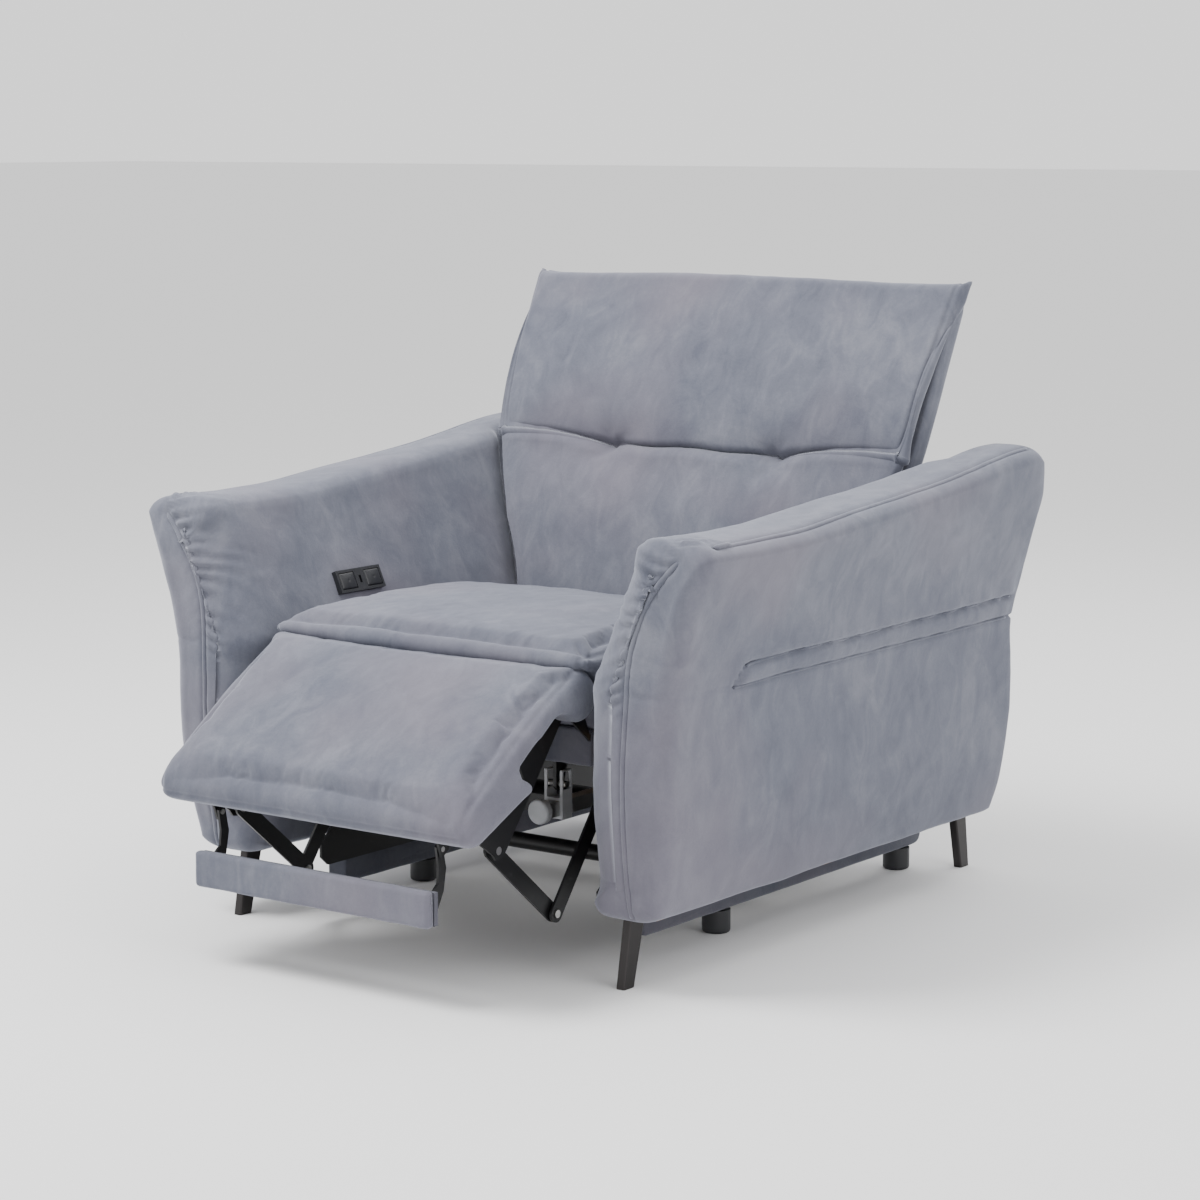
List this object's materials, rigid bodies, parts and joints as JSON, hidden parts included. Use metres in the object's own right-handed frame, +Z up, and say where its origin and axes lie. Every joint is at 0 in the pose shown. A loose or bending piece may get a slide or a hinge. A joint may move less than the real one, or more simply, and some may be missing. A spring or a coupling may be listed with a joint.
{
  "type": "recliner armchair",
  "caption": "Power recliner armchair with sliding seat, tilting back, folding footrest with a flap, and buttons on the arm.",
  "frame": {"origin": "on the floor, under the middle of the chair with its footrest part open", "axes": "+Z up, -Y towards the front of the chair, +X to the left arm of somebody sitting in it"},
  "size_m": [1.09, 1.235, 0.9697],
  "materials": {
    "upholstery": "brushed microfibre",
    "frame_wood": "raw plywood and timber",
    "black_steel": "satin black paint",
    "plated_steel": "zinc plated",
    "spring_steel": "oiled wire",
    "leg_metal": "dark gunmetal",
    "black_plastic": "fine matte",
    "grey_plastic": "matte"
  },
  "bodies": {
    "base": {"arm_cover_right": "upholstery", "arm_cover_left": "upholstery", "arm_frame_right": "frame_wood", "arm_frame_left": "frame_wood", "front_legs": "leg_metal", "rear_legs": "leg_metal", "glides": "black_plastic", "base_rail_right": "upholstery", "base_rail_left": "upholstery", "base_plate_right": "black_steel", "base_plate_left": "black_steel", "arm_brackets": "black_steel", "base_tubes": "black_steel", "rear_board": "upholstery", "control_bezel": "black_plastic", "usb_port": "black_plastic"},
    "button_open": {"button_open": "black_plastic"},
    "button_close": {"button_close": "black_plastic"},
    "seat": {"seat_cushion": "upholstery", "seat_side_rail_right": "frame_wood", "seat_side_rail_left": "frame_wood", "seat_plate_right": "black_steel", "seat_plate_left": "black_steel", "seat_cross_rails": "frame_wood", "seat_tube": "black_steel", "guide_pins": "plated_steel", "footrest_hinge_pins": "plated_steel", "torque_axles": "plated_steel", "back_hinge_pins": "plated_steel", "seat_springs": "spring_steel", "drive_rail": "plated_steel", "drive_rail_cap": "grey_plastic", "gearbox": "black_plastic", "motor": "black_steel", "motor_hanger": "black_steel"},
    "back": {"lumbar_cushion": "upholstery", "head_cushion": "upholstery", "back_posts": "frame_wood", "back_brackets": "black_steel", "back_top_rail": "frame_wood", "back_bottom_rail": "frame_wood", "back_springs": "spring_steel", "back_panel": "upholstery"},
    "footrest": {"footrest_pad": "upholstery", "footrest_board": "frame_wood", "footrest_brackets": "black_steel", "flap_ears": "black_steel", "link_pins": "plated_steel", "flap_pins": "plated_steel"},
    "lower_links": {"lower_links": "black_steel", "torque_tube": "black_steel", "crank": "black_steel", "drive_pin": "plated_steel"},
    "upper_links": {"upper_links": "black_steel", "knee_pins": "plated_steel"},
    "flap": {"flap_pad": "upholstery", "flap_board": "frame_wood", "flap_arms": "black_steel"},
    "nut": {"drive_nut": "grey_plastic"}
  },
  "joints": [
    {"name": "button_open_press", "type": "slide", "parent": "base", "child": "button_open", "axis": [-0.9125, 0, -0.409], "range_m": [0, 0.0015], "stiffness_N_per_m": 400},
    {"name": "button_close_press", "type": "slide", "parent": "base", "child": "button_close", "axis": [-0.9125, 0, -0.409], "range_m": [0, 0.0015], "stiffness_N_per_m": 400},
    {"name": "seat_slide", "type": "slide", "parent": "base", "child": "seat", "axis": [0, -1, 0], "range_m": [0, 0.08]},
    {"name": "back_recline", "type": "hinge", "parent": "seat", "child": "back", "pos_m": [0, 0.285, 0.37], "axis": [-1, 0, 0], "range_deg": [0, 32]},
    {"name": "footrest_extend", "type": "hinge", "parent": "seat", "child": "footrest", "pos_m": [0, -0.335, 0.41], "axis": [-1, 0, 0], "range_deg": [-54, 33]},
    {"name": "lower_link_turn", "type": "hinge", "parent": "seat", "child": "lower_links", "pos_m": [0, -0.192, 0.29], "axis": [-1, 0, 0], "range_deg": [-54, 33]},
    {"name": "upper_link_turn", "type": "hinge", "parent": "footrest", "child": "upper_links", "pos_m": [0, -0.48534, 0.2098], "axis": [-1, 0, 0], "range_deg": [-33, 54]},
    {"name": "flap_turn", "type": "hinge", "parent": "footrest", "child": "flap", "pos_m": [0, -0.56249, 0.22123], "axis": [-1, 0, 0], "range_deg": [-119, 72.8]},
    {"name": "nut_travel", "type": "slide", "parent": "seat", "child": "nut", "axis": [0, -1, 0], "range_m": [-0.04251, 0.02602]}
  ],
  "couplings": [
    {"joint": "seat_slide", "follows": "back_recline", "m_per_rad": 0.14323},
    {"joint": "lower_link_turn", "follows": "footrest_extend", "ratio": 1},
    {"joint": "upper_link_turn", "follows": "footrest_extend", "ratio": -1},
    {"joint": "flap_turn", "follows": "footrest_extend", "ratio": 2.2},
    {"joint": "nut_travel", "follows": "footrest_extend", "m_per_rad": 0.045}
  ]
}
